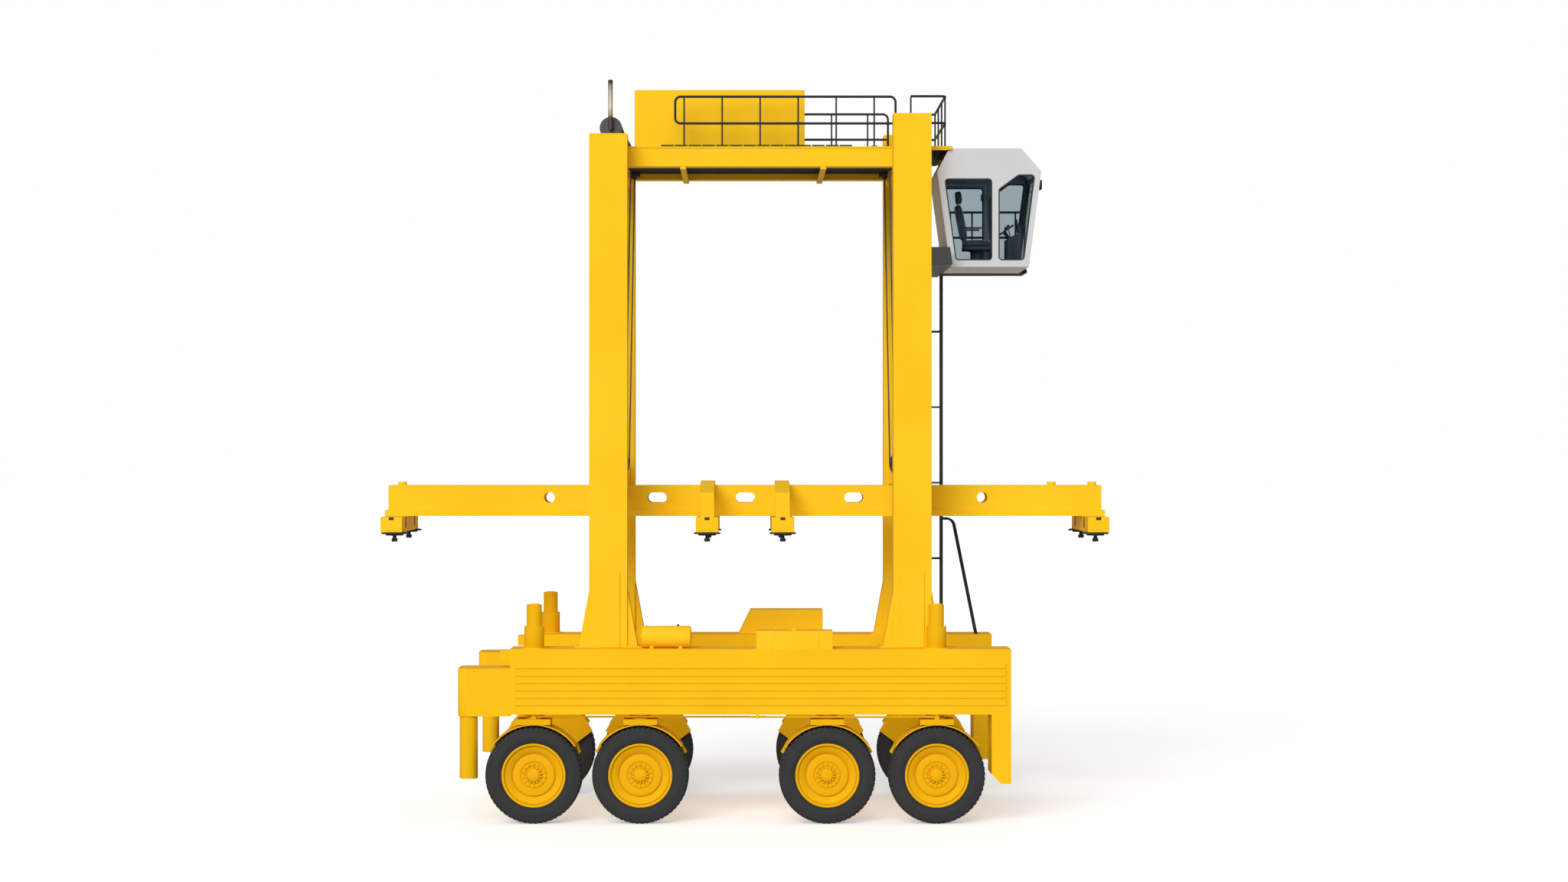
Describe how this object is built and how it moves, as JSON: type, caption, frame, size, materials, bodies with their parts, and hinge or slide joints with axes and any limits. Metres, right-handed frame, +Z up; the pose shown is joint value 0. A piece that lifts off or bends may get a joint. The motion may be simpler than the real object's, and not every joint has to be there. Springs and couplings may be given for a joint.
{
  "type": "straddle carrier",
  "caption": "Rubber-tyred portal carrier with steered wheels under side sills, tall legs, a top deck with a house and cab, and a hoisted twin-lift spreader.",
  "frame": {"origin": "on the ground below the middle of the spreader", "axes": "+X forward to the cab end, +Y to the machine's left, +Z up"},
  "size_m": [12.36, 4.9, 12.44],
  "materials": {
    "yellow_paint": "satin yellow paint",
    "deck_paint": "yellow deck plate",
    "grey_paint": "dark grey paint",
    "black_paint": "black satin tube",
    "white_paint": "satin white paint",
    "exhaust_metal": "heat-tinted steel",
    "cab_glass": "tinted glass",
    "seat_fabric": "dark fabric",
    "console_plastic": "dark plastic",
    "lock_rubber": "black pads",
    "tyre_rubber": "matte black rubber"
  },
  "bodies": {
    "chassis": {"sill_right": "yellow_paint", "sill_left": "yellow_paint", "tail_posts": "yellow_paint", "pivot_pots": "yellow_paint", "legs_rear": "yellow_paint", "legs_front": "yellow_paint", "top_beams": "yellow_paint", "top_straps": "yellow_paint", "cross_beams": "yellow_paint", "machine_house": "yellow_paint", "round_tank": "yellow_paint", "box_tank": "yellow_paint", "locker": "yellow_paint", "deck": "deck_paint", "walkways": "deck_paint", "cab_carrier": "grey_paint", "exhaust": "exhaust_metal", "guard_rails": "black_paint", "ladder": "black_paint", "cab_shell": "white_paint", "cab_roof": "white_paint", "cab_floor": "white_paint", "cab_glass": "cab_glass", "cab_seat": "seat_fabric", "cab_console": "console_plastic"},
    "cab_door": {"cab_door": "white_paint", "cab_door_glass": "cab_glass"},
    "spreader": {"spreader_beam": "yellow_paint", "spreader_end_beams": "yellow_paint", "spreader_twin_units": "yellow_paint", "spreader_twistlocks": "lock_rubber", "spreader_hoist_arms": "yellow_paint", "spreader_sheaves": "grey_paint"},
    "rods_a": {"steering_rods_a": "yellow_paint"},
    "rods_b": {"steering_rods_b": "yellow_paint"},
    "knuckle_axle_4_left": {"knuckle_axle_4_left": "yellow_paint"},
    "knuckle_axle_1_right": {"knuckle_axle_1_right": "yellow_paint"},
    "knuckle_axle_1_left": {"knuckle_axle_1_left": "yellow_paint"},
    "knuckle_axle_2_right": {"knuckle_axle_2_right": "yellow_paint"},
    "knuckle_axle_2_left": {"knuckle_axle_2_left": "yellow_paint"},
    "knuckle_axle_3_right": {"knuckle_axle_3_right": "yellow_paint"},
    "knuckle_axle_3_left": {"knuckle_axle_3_left": "yellow_paint"},
    "knuckle_axle_4_right": {"knuckle_axle_4_right": "yellow_paint"},
    "wheel_axle_4_left": {"rim_axle_4_left": "yellow_paint", "tyre_axle_4_left": "tyre_rubber"},
    "wheel_axle_1_right": {"rim_axle_1_right": "yellow_paint", "tyre_axle_1_right": "tyre_rubber"},
    "wheel_axle_1_left": {"rim_axle_1_left": "yellow_paint", "tyre_axle_1_left": "tyre_rubber"},
    "wheel_axle_2_right": {"rim_axle_2_right": "yellow_paint", "tyre_axle_2_right": "tyre_rubber"},
    "wheel_axle_2_left": {"rim_axle_2_left": "yellow_paint", "tyre_axle_2_left": "tyre_rubber"},
    "wheel_axle_3_right": {"rim_axle_3_right": "yellow_paint", "tyre_axle_3_right": "tyre_rubber"},
    "wheel_axle_3_left": {"rim_axle_3_left": "yellow_paint", "tyre_axle_3_left": "tyre_rubber"},
    "wheel_axle_4_right": {"rim_axle_4_right": "yellow_paint", "tyre_axle_4_right": "tyre_rubber"}
  },
  "joints": [
    {"name": "hoist", "type": "slide", "parent": "chassis", "child": "spreader", "axis": [0, 0, 1], "range_m": [-2.05, 3.3]},
    {"name": "cab_door_hinge", "type": "hinge", "parent": "chassis", "child": "cab_door", "pos_m": [4.205, 0.5663, 10.07], "axis": [0, 0, -1], "range_deg": [0, 95]},
    {"name": "steer_axle_4_left", "type": "hinge", "parent": "chassis", "child": "knuckle_axle_4_left", "pos_m": [3.172, 2.2, 1.7], "axis": [0, 0, 1], "range_deg": [-30, 30]},
    {"name": "steer_axle_1_right", "type": "hinge", "parent": "chassis", "child": "knuckle_axle_1_right", "pos_m": [-3.494, -2.2, 1.7], "axis": [0, 0, 1], "range_deg": [-30, 30]},
    {"name": "steer_axle_1_left", "type": "hinge", "parent": "chassis", "child": "knuckle_axle_1_left", "pos_m": [-3.494, 2.2, 1.7], "axis": [0, 0, 1], "range_deg": [-30, 30]},
    {"name": "steer_axle_2_right", "type": "hinge", "parent": "chassis", "child": "knuckle_axle_2_right", "pos_m": [-1.729, -2.2, 1.7], "axis": [0, 0, 1], "range_deg": [-15, 15]},
    {"name": "steer_axle_2_left", "type": "hinge", "parent": "chassis", "child": "knuckle_axle_2_left", "pos_m": [-1.729, 2.2, 1.7], "axis": [0, 0, 1], "range_deg": [-15, 15]},
    {"name": "steer_axle_3_right", "type": "hinge", "parent": "chassis", "child": "knuckle_axle_3_right", "pos_m": [1.361, -2.2, 1.7], "axis": [0, 0, 1], "range_deg": [-15, 15]},
    {"name": "steer_axle_3_left", "type": "hinge", "parent": "chassis", "child": "knuckle_axle_3_left", "pos_m": [1.361, 2.2, 1.7], "axis": [0, 0, 1], "range_deg": [-15, 15]},
    {"name": "steer_axle_4_right", "type": "hinge", "parent": "chassis", "child": "knuckle_axle_4_right", "pos_m": [3.172, -2.2, 1.7], "axis": [0, 0, 1], "range_deg": [-30, 30]},
    {"name": "spin_axle_4_left", "type": "hinge", "parent": "knuckle_axle_4_left", "child": "wheel_axle_4_left", "pos_m": [3.172, 2.2, 0.8], "axis": [0, 1, 0], "continuous": true},
    {"name": "spin_axle_1_right", "type": "hinge", "parent": "knuckle_axle_1_right", "child": "wheel_axle_1_right", "pos_m": [-3.494, -2.2, 0.8], "axis": [0, 1, 0], "continuous": true},
    {"name": "spin_axle_1_left", "type": "hinge", "parent": "knuckle_axle_1_left", "child": "wheel_axle_1_left", "pos_m": [-3.494, 2.2, 0.8], "axis": [0, 1, 0], "continuous": true},
    {"name": "spin_axle_2_right", "type": "hinge", "parent": "knuckle_axle_2_right", "child": "wheel_axle_2_right", "pos_m": [-1.729, -2.2, 0.8], "axis": [0, 1, 0], "continuous": true},
    {"name": "spin_axle_2_left", "type": "hinge", "parent": "knuckle_axle_2_left", "child": "wheel_axle_2_left", "pos_m": [-1.729, 2.2, 0.8], "axis": [0, 1, 0], "continuous": true},
    {"name": "spin_axle_3_right", "type": "hinge", "parent": "knuckle_axle_3_right", "child": "wheel_axle_3_right", "pos_m": [1.361, -2.2, 0.8], "axis": [0, 1, 0], "continuous": true},
    {"name": "spin_axle_3_left", "type": "hinge", "parent": "knuckle_axle_3_left", "child": "wheel_axle_3_left", "pos_m": [1.361, 2.2, 0.8], "axis": [0, 1, 0], "continuous": true},
    {"name": "spin_axle_4_right", "type": "hinge", "parent": "knuckle_axle_4_right", "child": "wheel_axle_4_right", "pos_m": [3.172, -2.2, 0.8], "axis": [0, 1, 0], "continuous": true},
    {"name": "rods_a_slide", "type": "slide", "parent": "chassis", "child": "rods_a", "axis": [1, 0, 0], "range_m": [-0.095, 0.095]},
    {"name": "rods_b_slide", "type": "slide", "parent": "chassis", "child": "rods_b", "axis": [1, 0, 0], "range_m": [-0.095, 0.095]}
  ],
  "couplings": [
    {"joint": "steer_axle_1_right", "follows": "steer_axle_4_left", "ratio": -1},
    {"joint": "steer_axle_1_left", "follows": "steer_axle_4_left", "ratio": -1},
    {"joint": "steer_axle_2_right", "follows": "steer_axle_4_left", "ratio": -0.47},
    {"joint": "steer_axle_2_left", "follows": "steer_axle_4_left", "ratio": -0.47},
    {"joint": "steer_axle_3_right", "follows": "steer_axle_4_left", "ratio": 0.46},
    {"joint": "steer_axle_3_left", "follows": "steer_axle_4_left", "ratio": 0.46},
    {"joint": "steer_axle_4_right", "follows": "steer_axle_4_left", "ratio": 1},
    {"joint": "rods_a_slide", "follows": "steer_axle_4_left", "m_per_rad": 0.175},
    {"joint": "rods_b_slide", "follows": "steer_axle_4_left", "m_per_rad": -0.175}
  ]
}
